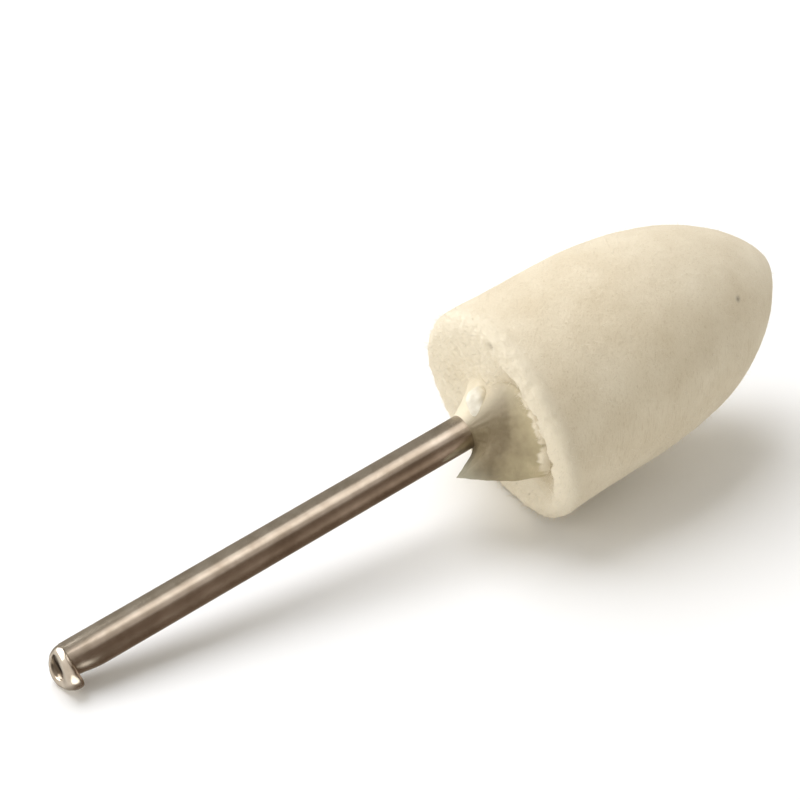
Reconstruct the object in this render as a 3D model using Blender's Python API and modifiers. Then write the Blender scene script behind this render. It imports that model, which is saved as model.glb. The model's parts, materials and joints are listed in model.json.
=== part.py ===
"""Felt polishing wheel: a bullet of pressed wool felt glued on a round steel shank.

Every piece is turned about local Z, which runs from the shank's free end to the tip of the head.
The origin is the flat floor of the dish in the free end. A parent empty then lays the whole
wheel on its side, as it rests on a bench: on the lip of the shank and the rear edge of the head.
"""

import math

import bmesh
import bpy
from mathutils import Matrix, Vector

# ---------------------------------------------------------------- driving dimensions, in metres

SHANK_DIAMETER = 0.003175       # fits a 1/8 inch collet
SHANK_LENGTH = 0.0422           # free end's dish floor to the head's rear face
SHANK_GRIP_IN_HEAD = 0.0180     # how deep the shank goes into the felt
SHANK_TIP_CHAMFER = 0.0004

LIP_DIAMETER = 0.00385          # rolled-over rim at the free end
LIP_THICKNESS = 0.00066
LIP_ROUNDING = 0.00024
LIP_OFFSET = 0.00040            # the lip was pushed over to one side
NECK_DIAMETER = 0.00298         # drawn in just behind the lip
NECK_LENGTH = 0.0016
DISH_DIAMETER = 0.00262
DISH_FLOOR_DIAMETER = 0.0011
DISH_DEPTH = 0.00040

KEY_GROOVES = 4                 # rings that let the glue grip the shank
KEY_GROOVE_DEPTH = 0.00022
KEY_GROOVE_WIDTH = 0.0008
KEY_GROOVE_PITCH = 0.0026
KEY_GROOVE_START = 0.0060       # from the head's rear face to the first groove

HEAD_DIAMETER = 0.0200
HEAD_LENGTH = 0.0316
HEAD_STRAIGHT = 0.0090          # parallel part behind the nose
HEAD_REAR_ROUNDING = 0.0015
HEAD_OFFSET = 0.00031           # the head runs out of true by this much
NOSE_FULLNESS = 2.57            # higher is fuller at the shoulder
NOSE_BLUNTNESS = 0.765          # 0.5 is round, 1 is pointed

GLUE_THICKNESS = 0.00030        # wall of glue between the shank and the felt
COLLAR_HEIGHT = 0.0030          # felt drawn up the shank, above the rear face
COLLAR_RADIUS = 0.0036          # foot of the collar on its short side
COLLAR_LOBE_RADIUS = 0.0082     # foot of the collar on its long side
COLLAR_FOOT = 0.00025           # thickness at the foot
COLLAR_SAG = 1.35               # 1 is a straight slope, higher is hollower
HORN_HEIGHT = 0.0057            # torn point that stands off the shank
HORN_REACH = 0.0031             # from the shank's axis to the horn's point
BEAD_LENGTH = 0.0020            # drop of glue on the collar
BEAD_WIDTH = 0.0018
BEAD_THICKNESS = 0.0007

LEAN_ANGLE = math.radians(-45)  # the way that head, lip and horn lean, from the downward side
LOBE_ANGLE = math.radians(-70)  # middle of the collar's long side, from the leaning side
LOBE_SPREAD = math.radians(58)
CREST_ANGLE = math.radians(-31)  # where the horn's crest meets the rear face
CREST_SHARP_SIDE = math.radians(12)
CREST_SOFT_SIDE = math.radians(36)
BEAD_ANGLE = math.radians(-136)  # the drop's place, from the leaning side

FIT_GAP = 0.0002                # clearance between pieces that touch
TURN_STEPS = 56
NOSE_POINTS = 18
ROUNDING_POINTS = 5
COLLAR_SLOPE_POINTS = 11

# ---------------------------------------------------------------- sizes that follow from them

SHANK_RADIUS = SHANK_DIAMETER / 2
LIP_RADIUS = LIP_DIAMETER / 2
HEAD_RADIUS = HEAD_DIAMETER / 2
REAR_Z = SHANK_LENGTH
TIP_Z = REAR_Z + HEAD_LENGTH
SHANK_TOP_Z = REAR_Z + SHANK_GRIP_IN_HEAD
GLUE_INNER_RADIUS = SHANK_RADIUS + FIT_GAP
GLUE_OUTER_RADIUS = GLUE_INNER_RADIUS + GLUE_THICKNESS
GLUE_TOP_Z = SHANK_TOP_Z + FIT_GAP + GLUE_THICKNESS
BORE_RADIUS = GLUE_OUTER_RADIUS + FIT_GAP
BORE_TOP_Z = GLUE_TOP_Z + FIT_GAP
COLLAR_BASE_Z = REAR_Z - FIT_GAP
LEAN = Vector((math.cos(LEAN_ANGLE), math.sin(LEAN_ANGLE), 0))


def lying_tilt():
    """Angle of the shank to the bench, resting on the lip and on the head's rounded rear edge."""
    down = LEAN.x
    lip_low = LIP_OFFSET * down + LIP_RADIUS - LIP_ROUNDING
    edge_low = HEAD_OFFSET * down + HEAD_RADIUS - HEAD_REAR_ROUNDING
    lip_z = LIP_ROUNDING - DISH_DEPTH
    run = REAR_Z + HEAD_REAR_ROUNDING - lip_z
    drop = edge_low - lip_low
    tangent = math.asin((HEAD_REAR_ROUNDING - LIP_ROUNDING) / math.hypot(run, drop))
    return math.atan2(drop, run) + tangent


# ---------------------------------------------------------------- scene and shared helpers

for scene_object in list(bpy.data.objects):
    bpy.data.objects.remove(scene_object, do_unlink=True)

parts = bpy.data.collections.new("felt_polishing_wheel")
cutters = bpy.data.collections.new("cutters")
bpy.context.scene.collection.children.link(parts)
bpy.context.scene.collection.children.link(cutters)

lying = bpy.data.objects.new("lying_on_bench", None)
lying.rotation_euler = (0, math.pi / 2 - lying_tilt(), 0)
parts.objects.link(lying)


def material(name, colour, roughness, metallic=0.0):
    made = bpy.data.materials.new(name)
    made.use_nodes = True
    shader = made.node_tree.nodes["Principled BSDF"]
    shader.inputs["Base Color"].default_value = (*colour, 1.0)
    shader.inputs["Roughness"].default_value = roughness
    shader.inputs["Metallic"].default_value = metallic
    return made


def place(mesh, name, finish=None, offset=(0, 0, 0)):
    """Put a mesh in the model: a part when it has a finish, or else a hidden cutter."""
    piece = bpy.data.objects.new(name, mesh)
    piece.location = offset
    piece.parent = lying
    if finish is None:
        cutters.objects.link(piece)
        piece.hide_render = True
        piece.display_type = "WIRE"
    else:
        parts.objects.link(piece)
        mesh.materials.append(finish)
    return piece


def turned(name, profile, finish=None, offset=(0, 0, 0)):
    """A solid of revolution about Z; the profile is (radius, z) from top to bottom."""
    mesh = bpy.data.meshes.new(name)
    edges = [(i, i + 1) for i in range(len(profile) - 1)]
    mesh.from_pydata([(radius, 0, z) for radius, z in profile], edges, [])
    piece = place(mesh, name, finish, offset)
    screw = piece.modifiers.new("turn", "SCREW")
    screw.axis = "Z"
    screw.steps = TURN_STEPS
    screw.render_steps = TURN_STEPS
    screw.use_merge_vertices = True
    screw.merge_threshold = 0.000001
    screw.use_smooth_shade = True
    return piece


def arc(centre_r, centre_z, radius, start, end, points=ROUNDING_POINTS):
    """Points of a round stretch of a profile; the angles are in degrees from +radius."""
    angles = [math.radians(start + (end - start) * i / points) for i in range(points + 1)]
    return [(centre_r + radius * math.cos(a), centre_z + radius * math.sin(a)) for a in angles]


def boolean(piece, cutter, operation):
    step = piece.modifiers.new(cutter.name, "BOOLEAN")
    step.operation = operation
    step.object = cutter
    step.solver = "EXACT"


def shade(piece, angle=40):
    piece.data.shade_smooth()
    piece.data.set_sharp_from_angle(angle=math.radians(angle))


# ---------------------------------------------------------------- shank

def shank_profile():
    """Grooved inner end, plain stem, and the neck behind the lip, from the top down."""
    points = [(0, SHANK_TOP_Z), (SHANK_RADIUS - SHANK_TIP_CHAMFER, SHANK_TOP_Z)]
    points.append((SHANK_RADIUS, SHANK_TOP_Z - SHANK_TIP_CHAMFER))
    for groove in reversed(range(KEY_GROOVES)):
        middle = REAR_Z + KEY_GROOVE_START + groove * KEY_GROOVE_PITCH
        upper = middle + KEY_GROOVE_WIDTH / 2
        lower = middle - KEY_GROOVE_WIDTH / 2
        points.append((SHANK_RADIUS, upper))
        points.append((SHANK_RADIUS - KEY_GROOVE_DEPTH, upper - KEY_GROOVE_DEPTH))
        points.append((SHANK_RADIUS - KEY_GROOVE_DEPTH, lower + KEY_GROOVE_DEPTH))
        points.append((SHANK_RADIUS, lower))
    lip_back = LIP_THICKNESS - DISH_DEPTH
    neck = NECK_DIAMETER / 2
    points.append((SHANK_RADIUS, lip_back + NECK_LENGTH))
    points.append((neck, lip_back + NECK_LENGTH * 0.45))
    points.append((neck, lip_back - LIP_THICKNESS / 2))
    points.append((0, lip_back - LIP_THICKNESS / 2))
    return points


def lip_profile():
    """The rolled rim, a thick washer with two rounded edges."""
    low = -DISH_DEPTH
    high = low + LIP_THICKNESS
    inside = LIP_RADIUS - LIP_ROUNDING
    upper = arc(inside, high - LIP_ROUNDING, LIP_ROUNDING, 90, 0)
    lower = arc(inside, low + LIP_ROUNDING, LIP_ROUNDING, 0, -90)
    return [(0, high), *upper, *lower, (0, low)]


def dish_profile():
    """Tapered hollow with a flat floor, which runs past the end face."""
    floor = DISH_FLOOR_DIAMETER / 2
    mouth = DISH_DIAMETER / 2
    past = DISH_DEPTH
    return [(0, 0), (floor, 0), (mouth, -DISH_DEPTH), (mouth, -DISH_DEPTH - past),
            (0, -DISH_DEPTH - past)]


steel = material("shank_steel", (0.42, 0.36, 0.30), 0.28, 1.0)
shank = turned("shank", shank_profile(), steel)
lip_blank = turned("lip_blank", lip_profile(), offset=LEAN * LIP_OFFSET)
dish_cutter = turned("dish_cutter", dish_profile())
boolean(shank, lip_blank, "UNION")
boolean(shank, dish_cutter, "DIFFERENCE")
shade(shank)

# ---------------------------------------------------------------- felt head

def nose_radius(share):
    """Radius of the nose at a share of its length, 0 at the shoulder and 1 at the tip."""
    return HEAD_RADIUS * (1 - share**NOSE_FULLNESS) ** NOSE_BLUNTNESS


def head_profile():
    """Bullet outline: nose, parallel side, rounded rear edge and flat rear face."""
    shoulder = REAR_Z + HEAD_STRAIGHT
    nose = TIP_Z - shoulder
    points = []
    for i in range(NOSE_POINTS + 1):
        share = 1 - (i / NOSE_POINTS) ** 2
        points.append((nose_radius(share), shoulder + nose * share))
    edge = HEAD_RADIUS - HEAD_REAR_ROUNDING
    points += arc(edge, REAR_Z + HEAD_REAR_ROUNDING, HEAD_REAR_ROUNDING, 0, -90)
    points.append((0, REAR_Z))
    return points


def bore_profile():
    """Blind hole for the glued shank, which opens at the rear face."""
    mouth = REAR_Z - HEAD_REAR_ROUNDING
    return [(0, BORE_TOP_Z), (BORE_RADIUS, BORE_TOP_Z), (BORE_RADIUS, mouth), (0, mouth)]


felt = material("wool_felt", (0.80, 0.70, 0.54), 0.95)
head = turned("felt_head", head_profile(), felt, offset=LEAN * HEAD_OFFSET)
bore_cutter = turned("bore_cutter", bore_profile())
boolean(head, bore_cutter, "DIFFERENCE")
shade(head)

# ---------------------------------------------------------------- glue inside the bore

def sleeve_profile():
    """Thin cup of hardened glue round the buried end of the shank."""
    floor = SHANK_TOP_Z + FIT_GAP
    return [(0, GLUE_TOP_Z), (GLUE_OUTER_RADIUS, GLUE_TOP_Z), (GLUE_OUTER_RADIUS, REAR_Z),
            (GLUE_INNER_RADIUS, REAR_Z), (GLUE_INNER_RADIUS, floor), (0, floor)]


glue = material("hard_glue", (0.62, 0.52, 0.36), 0.35)
sleeve = turned("glue_sleeve", sleeve_profile(), glue)
shade(sleeve)

# ---------------------------------------------------------------- collar with its horn

def collar_foot(angle):
    """Radius of the collar's foot at an angle from the leaning side."""
    away = math.remainder(angle - LOBE_ANGLE, 2 * math.pi) / LOBE_SPREAD
    return COLLAR_RADIUS + (COLLAR_LOBE_RADIUS - COLLAR_RADIUS) * math.exp(-(away**4))


def crest(radius):
    """Height and angle of the horn's crest, which climbs from the shank to the horn's point,
    then falls in a straight line to the edge of the collar's long side."""
    if radius < HORN_REACH:
        share = (radius - GLUE_INNER_RADIUS) / (HORN_REACH - GLUE_INNER_RADIUS)
        return COLLAR_HEIGHT + (HORN_HEIGHT - COLLAR_HEIGHT) * share, 0.0
    share = min((radius - HORN_REACH) / (COLLAR_LOBE_RADIUS - HORN_REACH), 1.0)
    return HORN_HEIGHT + (COLLAR_FOOT - HORN_HEIGHT) * share, CREST_ANGLE * math.sqrt(share)


def collar_height(radius, angle):
    """Height of the collar above the rear face: a hollow cone, and the horn's fin across it."""
    share = min((radius - GLUE_INNER_RADIUS) / (collar_foot(angle) - GLUE_INNER_RADIUS), 1.0)
    cone = COLLAR_FOOT + (COLLAR_HEIGHT - COLLAR_FOOT) * (1 - share) ** COLLAR_SAG
    top, crest_angle = crest(radius)
    away = math.remainder(angle - crest_angle, 2 * math.pi)
    spread = CREST_SHARP_SIDE if away > 0 else CREST_SOFT_SIDE
    return cone + max(top - cone, 0.0) * math.exp(-((away / spread) ** 2))


def collar_section(angle):
    """Cross-section of the collar at an angle from the leaning side, as (radius, height)."""
    foot = collar_foot(angle)
    inner = GLUE_INNER_RADIUS
    radii = [inner, (inner + HORN_REACH) / 2]
    for i in range(COLLAR_SLOPE_POINTS - 2):
        radii.append(HORN_REACH + (foot - HORN_REACH) * i / (COLLAR_SLOPE_POINTS - 3))
    section = [(radius, collar_height(radius, angle)) for radius in radii]
    section += [(foot, 0), (inner, 0)]
    return section


def loft(name, sections, finish):
    """Skin a ring of closed sections, each a list of points, into one closed solid."""
    form = bmesh.new()
    rings = [[form.verts.new(point) for point in section] for section in sections]
    count = len(rings[0])
    for here, there in zip(rings, rings[1:] + rings[:1]):
        for i in range(count):
            j = (i + 1) % count
            form.faces.new((here[i], here[j], there[j], there[i]))
    bmesh.ops.recalc_face_normals(form, faces=form.faces)
    mesh = bpy.data.meshes.new(name)
    form.to_mesh(mesh)
    form.free()
    return place(mesh, name, finish)


def collar_sections():
    sections = []
    for i in range(TURN_STEPS):
        angle = 2 * math.pi * i / TURN_STEPS
        out = Vector((math.cos(LEAN_ANGLE + angle), math.sin(LEAN_ANGLE + angle), 0))
        rise = Vector((0, 0, -1))
        base = Vector((0, 0, COLLAR_BASE_Z))
        sections.append([base + out * r + rise * h for r, h in collar_section(angle)])
    return sections


soaked_felt = material("glue_soaked_felt", (0.44, 0.36, 0.24), 0.7)
collar = loft("glue_collar", collar_sections(), soaked_felt)
shade(collar, 50)

# ---------------------------------------------------------------- drop of glue on the collar

def bead():
    """A flattened drop that lies along the collar's slope, clear of it by the fit gap."""
    section = collar_section(BEAD_ANGLE)
    top = section[0]
    foot = section[COLLAR_SLOPE_POINTS - 1]
    slope = math.atan2(top[1] - foot[1], foot[0] - top[0])
    along = Vector((math.cos(slope), 0, math.sin(slope)))
    away = Vector((math.sin(slope), 0, -math.cos(slope)))
    middle = Vector(((top[0] + foot[0]) / 2, 0, COLLAR_BASE_Z - (top[1] + foot[1]) / 2))
    middle += away * (FIT_GAP + BEAD_THICKNESS / 2)
    turn = Matrix.Rotation(LEAN_ANGLE + BEAD_ANGLE, 4, "Z")
    axes = Matrix((along, (0, 1, 0), away)).transposed().to_4x4()
    size = Matrix.Diagonal((BEAD_LENGTH / 2, BEAD_WIDTH / 2, BEAD_THICKNESS / 2, 1))
    form = bmesh.new()
    bmesh.ops.create_uvsphere(form, u_segments=20, v_segments=10, radius=1)
    bmesh.ops.transform(form, matrix=turn @ Matrix.Translation(middle) @ axes @ size,
                        verts=form.verts)
    bmesh.ops.recalc_face_normals(form, faces=form.faces)
    mesh = bpy.data.meshes.new("glue_bead")
    form.to_mesh(mesh)
    form.free()
    return place(mesh, "glue_bead", clear_glue)


clear_glue = material("clear_glue", (0.82, 0.78, 0.64), 0.3)
shade(bead())
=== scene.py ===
# %% [markdown]
# # A felt polishing wheel
#
# This lesson dresses one small tool: a bullet of pressed wool felt, glued on a steel shank. The
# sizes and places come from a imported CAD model, the frame. Blender adds what the CAD leaves out:
# the fuzz and lumps of the felt, the stiff torn collar where glue soaked in, and the bright steel.

# %% Load the frame
import json
import math
import random

import bpy
import numpy as np
from mathutils import Matrix, Vector, noise


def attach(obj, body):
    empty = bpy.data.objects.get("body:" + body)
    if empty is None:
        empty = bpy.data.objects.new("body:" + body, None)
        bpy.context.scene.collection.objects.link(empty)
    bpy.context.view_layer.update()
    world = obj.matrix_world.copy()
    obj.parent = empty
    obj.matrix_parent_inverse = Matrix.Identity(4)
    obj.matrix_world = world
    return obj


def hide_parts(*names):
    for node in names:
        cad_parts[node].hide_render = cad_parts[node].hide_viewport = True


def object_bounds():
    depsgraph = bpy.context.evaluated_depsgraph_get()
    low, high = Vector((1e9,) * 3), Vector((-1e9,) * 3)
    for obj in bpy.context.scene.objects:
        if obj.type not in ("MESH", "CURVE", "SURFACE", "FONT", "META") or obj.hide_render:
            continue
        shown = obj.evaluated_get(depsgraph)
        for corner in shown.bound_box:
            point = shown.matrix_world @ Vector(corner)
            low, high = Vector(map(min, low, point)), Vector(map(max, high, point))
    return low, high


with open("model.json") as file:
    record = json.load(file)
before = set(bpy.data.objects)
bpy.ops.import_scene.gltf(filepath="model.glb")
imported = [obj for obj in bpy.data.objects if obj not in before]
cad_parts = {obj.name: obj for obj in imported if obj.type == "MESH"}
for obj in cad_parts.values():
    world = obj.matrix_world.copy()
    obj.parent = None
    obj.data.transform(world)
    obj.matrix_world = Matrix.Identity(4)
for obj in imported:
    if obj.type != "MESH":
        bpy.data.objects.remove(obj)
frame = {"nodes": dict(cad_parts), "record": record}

MM = 0.001
cad_box = [list(corner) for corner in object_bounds()]
print("nodes:", sorted(frame["nodes"]))
print("CAD box in mm:", [[round(x / MM, 2) for x in corner] for corner in cad_box])

# %% [markdown]
# ## The shank's own axes
#
# The wheel lies on a bench, so its shank slopes. Everything on it is round about the shank, so it
# is far easier to shape each piece upright, about Z, and to lay it down at the end. The frame's
# mount says which way the shank points, and one matrix turns upright points into row points.

# %% Upright axes, and the sizes read from the CAD nodes
mount = next(m for m in frame["record"]["mounts"] if m["name"] == "shank_end")
shank_way = -Vector(mount["axis"]).normalized()
sideways = Vector((0, 1, 0))
downhill = sideways.cross(shank_way)
lay_down = Matrix((downhill, sideways, shank_way)).transposed()


def upright(node):
    """A CAD node's points, turned so that the shank stands along Z."""
    points = np.array([vertex.co for vertex in frame["nodes"][node].data.vertices])
    return points @ np.array(lay_down)


felt_points = upright("felt_head")
shank_points = upright("shank")
REAR_Z = felt_points[:, 2].min()
TIP_Z = felt_points[:, 2].max()
HEAD_RADIUS = float(np.ptp(felt_points[:, 1]) / 2)
HEAD_CENTRE = (felt_points.max(axis=0) + felt_points.min(axis=0))[:2] / 2
LEAN_ANGLE = math.atan2(HEAD_CENTRE[1], HEAD_CENTRE[0])
stem = shank_points[shank_points[:, 2] > REAR_Z]
SHANK_RADIUS = float(np.hypot(stem[:, 0], stem[:, 1]).max())
SHANK_TOP_Z = shank_points[:, 2].max()
LIP_Z = shank_points[:, 2].min()
print(f"head {2 * HEAD_RADIUS / MM:.2f} mm across, {(TIP_Z - REAR_Z) / MM:.2f} mm long")
print(f"shank {2 * SHANK_RADIUS / MM:.3f} mm, lip at {LIP_Z / MM:.2f} mm")

# %% [markdown]
# ## Camera
#
# The wheel is seen from above its shank's free end, so that the shank runs up to the right and
# away. A longish lens, close up, makes the free end look a little thicker than the far one.

# %% Camera
VIEW_AZIMUTH = math.radians(-33.67)
VIEW_ELEVATION = math.radians(35.16)
VIEW_DISTANCE = 0.1481
LENS_MM = 76.9
SENSOR_MM = 36.0

rear_centre = shank_way * REAR_Z
aim = rear_centre + Vector((-0.00615, 0.00504, 0.00112))
look = Vector((
    -math.sin(VIEW_AZIMUTH) * math.cos(VIEW_ELEVATION),
    math.cos(VIEW_AZIMUTH) * math.cos(VIEW_ELEVATION),
    -math.sin(VIEW_ELEVATION),
))
camera_data = bpy.data.cameras.new("camera")
camera_data.lens = LENS_MM
camera_data.sensor_width = SENSOR_MM
camera_data.clip_start = 0.005
camera = bpy.data.objects.new("camera", camera_data)
camera.location = aim - look * VIEW_DISTANCE
camera.rotation_euler = look.to_track_quat("-Z", "Y").to_euler()
bpy.context.scene.collection.objects.link(camera)
bpy.context.scene.camera = camera
print("camera at", [round(x, 4) for x in camera.location])

# %% [markdown]
# ## Node helpers
#
# A material is a small graph. A few helpers keep the cells short: one adds a node and sets its
# sockets, one joins sockets, two make a node group and place it, and one mixes a colour in where a
# mask that is kept on the mesh says so.

# %% Node helpers
def add_node(tree, kind, values=None, **settings):
    """Add a node, set its properties by name, and its inputs by socket name or number."""
    node = tree.nodes.new(kind)
    for key, value in settings.items():
        setattr(node, key, value)
    for key, value in (values or {}).items():
        node.inputs[key].default_value = value
    return node


def join(tree, *pairs):
    """Join each pair of sockets, the output first."""
    for output, target in pairs:
        tree.links.new(output, target)


def new_group(name, inputs, outputs):
    """A node group with named float inputs and outputs: {name: default} and {name: type}."""
    group = bpy.data.node_groups.new(name, "ShaderNodeTree")
    for label, default in inputs.items():
        socket = group.interface.new_socket(label, in_out="INPUT", socket_type="NodeSocketFloat")
        socket.default_value = default
    for label, kind in outputs.items():
        group.interface.new_socket(label, in_out="OUTPUT", socket_type=kind)
    entry = group.nodes.new("NodeGroupInput")
    result = group.nodes.new("NodeGroupOutput")
    return group, entry, result


def place_group(tree, group, **values):
    """Put a node group in a material, with its own values."""
    return add_node(tree, "ShaderNodeGroup", {k.replace("_", " "): v for k, v in values.items()},
                    node_tree=group)


def tint_by_mask(tree, base, mask, colour):
    """Fade a colour in where the mesh's own mask is high, and give the mixed colour's socket."""
    reader = add_node(tree, "ShaderNodeAttribute", attribute_name=mask)
    mix = add_node(tree, "ShaderNodeMix", {"B": colour}, data_type="RGBA")
    join(tree, (reader.outputs["Fac"], mix.inputs["Factor"]), (base, mix.inputs["A"]))
    return mix.outputs["Result"]


# %% [markdown]
# ## Wool fibres, as a node group
#
# Felt has no weave. It is a mat of fibres that cross in every direction. A noise that is stretched
# a lot along one axis looks like a bundle of hairs, and its ridges, where the noise passes its
# middle value, are thin lines. Three such layers, each turned another way, make the mat. The felt,
# the soaked collar and the loose fuzz all use this, so it is one group with its own values.

# %% Group: wool fibres
TURNS = ((0.3, 0.9, 0.2), (1.4, 0.2, 1.1), (0.8, 2.0, 2.4))
STRETCH = (1.0, 1.0, 0.10)

wool, wool_in, wool_out = new_group(
    "wool_fibres", {"Fibres per mm": 9.0, "Crimp": 0.8},
    {"Fibre": "NodeSocketFloat", "Height": "NodeSocketFloat"})
where = add_node(wool, "ShaderNodeTexCoord")
per_metre = add_node(wool, "ShaderNodeMath", {1: 1 / MM}, operation="MULTIPLY")
join(wool, (wool_in.outputs["Fibres per mm"], per_metre.inputs[0]))
strongest = None
for turn in TURNS:
    mapping = add_node(wool, "ShaderNodeMapping", {"Rotation": turn, "Scale": STRETCH})
    hairs = add_node(wool, "ShaderNodeTexNoise", {"Detail": 2.0, "Roughness": 0.6})
    centred = add_node(wool, "ShaderNodeMath", {1: 0.5}, operation="SUBTRACT")
    ridge = add_node(wool, "ShaderNodeMath", operation="ABSOLUTE")
    line = add_node(wool, "ShaderNodeMapRange", {"From Min": 0.0, "From Max": 0.11,
                                                 "To Min": 1.0, "To Max": 0.0})
    join(wool,
         (where.outputs["Object"], mapping.inputs["Vector"]),
         (mapping.outputs["Vector"], hairs.inputs["Vector"]),
         (per_metre.outputs[0], hairs.inputs["Scale"]),
         (wool_in.outputs["Crimp"], hairs.inputs["Distortion"]),
         (hairs.outputs["Fac"], centred.inputs[0]),
         (centred.outputs[0], ridge.inputs[0]),
         (ridge.outputs[0], line.inputs["Value"]))
    if strongest is None:
        strongest = line.outputs["Result"]
    else:
        above = add_node(wool, "ShaderNodeMath", operation="MAXIMUM")
        join(wool, (strongest, above.inputs[0]), (line.outputs["Result"], above.inputs[1]))
        strongest = above.outputs[0]
nap = add_node(wool, "ShaderNodeTexNoise", {"Scale": 3.2 / MM, "Detail": 4.0, "Roughness": 0.65})
with_nap = add_node(wool, "ShaderNodeMath", {1: 0.6}, operation="MULTIPLY_ADD")
join(wool,
     (where.outputs["Object"], nap.inputs["Vector"]),
     (strongest, with_nap.inputs[0]),
     (nap.outputs["Fac"], with_nap.inputs[2]),
     (strongest, wool_out.inputs["Fibre"]),
     (with_nap.outputs[0], wool_out.inputs["Height"]))
print("group", wool.name, "with", len(TURNS), "layers of hair")

# %% [markdown]
# ## Cloudy tint, as a node group
#
# No natural or handled surface has one even colour. Soft clouds shift it a little: wool is creamier
# where it is dense, glue is darker where it is thick, and steel is duller where fingers held it.
# The group gives a mask from 0 to 1, and each material says what it does with it.

# %% Group: cloudy tint
cloud, cloud_in, cloud_out = new_group(
    "cloudy_tint", {"Cloud mm": 4.0, "Contrast": 2.0}, {"Cloud": "NodeSocketFloat"})
where = add_node(cloud, "ShaderNodeTexCoord")
density = add_node(cloud, "ShaderNodeMath", {0: 1 / MM}, operation="DIVIDE")
wide = add_node(cloud, "ShaderNodeTexNoise", {"Detail": 3.0, "Roughness": 0.55})
centred = add_node(cloud, "ShaderNodeMath", {1: 0.5}, operation="SUBTRACT")
stretched = add_node(cloud, "ShaderNodeMath", {2: 0.5}, operation="MULTIPLY_ADD", use_clamp=True)
join(cloud,
     (cloud_in.outputs["Cloud mm"], density.inputs[1]),
     (where.outputs["Object"], wide.inputs["Vector"]),
     (density.outputs[0], wide.inputs["Scale"]),
     (wide.outputs["Fac"], centred.inputs[0]),
     (centred.outputs[0], stretched.inputs[0]),
     (cloud_in.outputs["Contrast"], stretched.inputs[1]),
     (stretched.outputs[0], cloud_out.inputs["Cloud"]))
print("group", cloud.name)

# %% [markdown]
# ## Floor and light
#
# A plain pale floor, a broad soft light overhead, fainter ones from the left and the right, and one
# straight at the rear face. Felt shows only how much light reaches it. Polished steel shows a
# picture of the room instead. So the steel gets a room of its own: a brown one, like a workshop,
# with paler walls, the near floor as a small bright patch, and three lights that only mirrors see.
# The floor hides from reflections. That gives the steel its dark lower half and its bright stripe.

# %% Floor
FLOOR_SIZE = 3.0
floor_z = cad_box[0][2]

bpy.ops.mesh.primitive_plane_add(size=FLOOR_SIZE, location=(0, 0, floor_z))
floor = bpy.context.object
floor.name = "floor"
floor.visible_glossy = False
floor_paint = bpy.data.materials.new("floor_paint")
floor_paint.use_nodes = True
shader = floor_paint.node_tree.nodes["Principled BSDF"]
shader.inputs["Base Color"].default_value = (0.93, 0.93, 0.92, 1)
shader.inputs["Roughness"].default_value = 0.9
shader.inputs["Specular IOR Level"].default_value = 0.1
floor.data.materials.append(floor_paint)
print(f"floor {FLOOR_SIZE:.0f} m wide, at {floor_z / MM:.2f} mm")

# %% [markdown]
# The room is drawn by direction. A ray goes out along X, Y and Z, and each wall is a colour that
# fades in where the ray points far enough its way. The Light Path node picks the plain pale world
# for dull rays and this room for mirrored ones. So the felt's shading and the steel's reflections
# can be set apart, the way cards are put up round a bright piece in a studio.

# %% World: pale for dull surfaces, brown for mirrors
PALE = (1.0, 0.965, 0.895, 1)
PALE_STRENGTH = 0.42
BROWN = (0.17, 0.118, 0.082, 1)
BACK_WALL = (0.36, 0.325, 0.27, 1)
SIDE_WALL = (0.70, 0.56, 0.45, 1)
LEFT_WALL = (1.05, 0.98, 0.88, 1)
NEAR_FLOOR = (3.0, 2.95, 2.7, 1)
NEAR_FLOOR_WAY = (-0.40, -0.73, -0.55)
BACK_FADE = {"From Min": -0.1, "From Max": 0.5}
SIDE_FADE = {"From Min": 0.29, "From Max": 0.40}
SIDE_MIDDLE = -0.08
SIDE_TALL = {"From Min": 0.50, "From Max": 0.12}
LEFT_FADE = {"From Min": -0.15, "From Max": -0.50}
NEAR_FLOOR_FADE = {"From Min": 0.87, "From Max": 0.95}

world = bpy.data.worlds.new("room")
bpy.context.scene.world = world
world.use_nodes = True
tree = world.node_tree
tree.nodes.clear()
rays = add_node(tree, "ShaderNodeLightPath")
pale = add_node(tree, "ShaderNodeBackground", {"Color": PALE, "Strength": PALE_STRENGTH})
mirrored = add_node(tree, "ShaderNodeBackground", {"Strength": 1.0})
toward = add_node(tree, "ShaderNodeTexCoord")
parts = add_node(tree, "ShaderNodeSeparateXYZ")
walls = add_node(tree, "ShaderNodeMapRange", BACK_FADE)
colour = add_node(tree, "ShaderNodeMix", {"A": BROWN, "B": BACK_WALL}, data_type="RGBA")
ahead = add_node(tree, "ShaderNodeMapRange", SIDE_FADE)
level = add_node(tree, "ShaderNodeMath", {1: SIDE_MIDDLE}, operation="SUBTRACT")
away = add_node(tree, "ShaderNodeMath", operation="ABSOLUTE")
low = add_node(tree, "ShaderNodeMapRange", SIDE_TALL)
side = add_node(tree, "ShaderNodeMath", operation="MULTIPLY")
near = add_node(tree, "ShaderNodeMath", {0: 1.0}, operation="SUBTRACT")
near_side = add_node(tree, "ShaderNodeMath", operation="MULTIPLY")
with_side = add_node(tree, "ShaderNodeMix", {"B": SIDE_WALL}, data_type="RGBA")
behind = add_node(tree, "ShaderNodeMapRange", LEFT_FADE)
with_left = add_node(tree, "ShaderNodeMix", {"B": LEFT_WALL}, data_type="RGBA")
facing = add_node(tree, "ShaderNodeVectorMath", {1: NEAR_FLOOR_WAY}, operation="DOT_PRODUCT")
front = add_node(tree, "ShaderNodeMapRange", NEAR_FLOOR_FADE)
with_floor = add_node(tree, "ShaderNodeMix", {"B": NEAR_FLOOR}, data_type="RGBA")
choice = add_node(tree, "ShaderNodeMixShader")
out = add_node(tree, "ShaderNodeOutputWorld")
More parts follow.
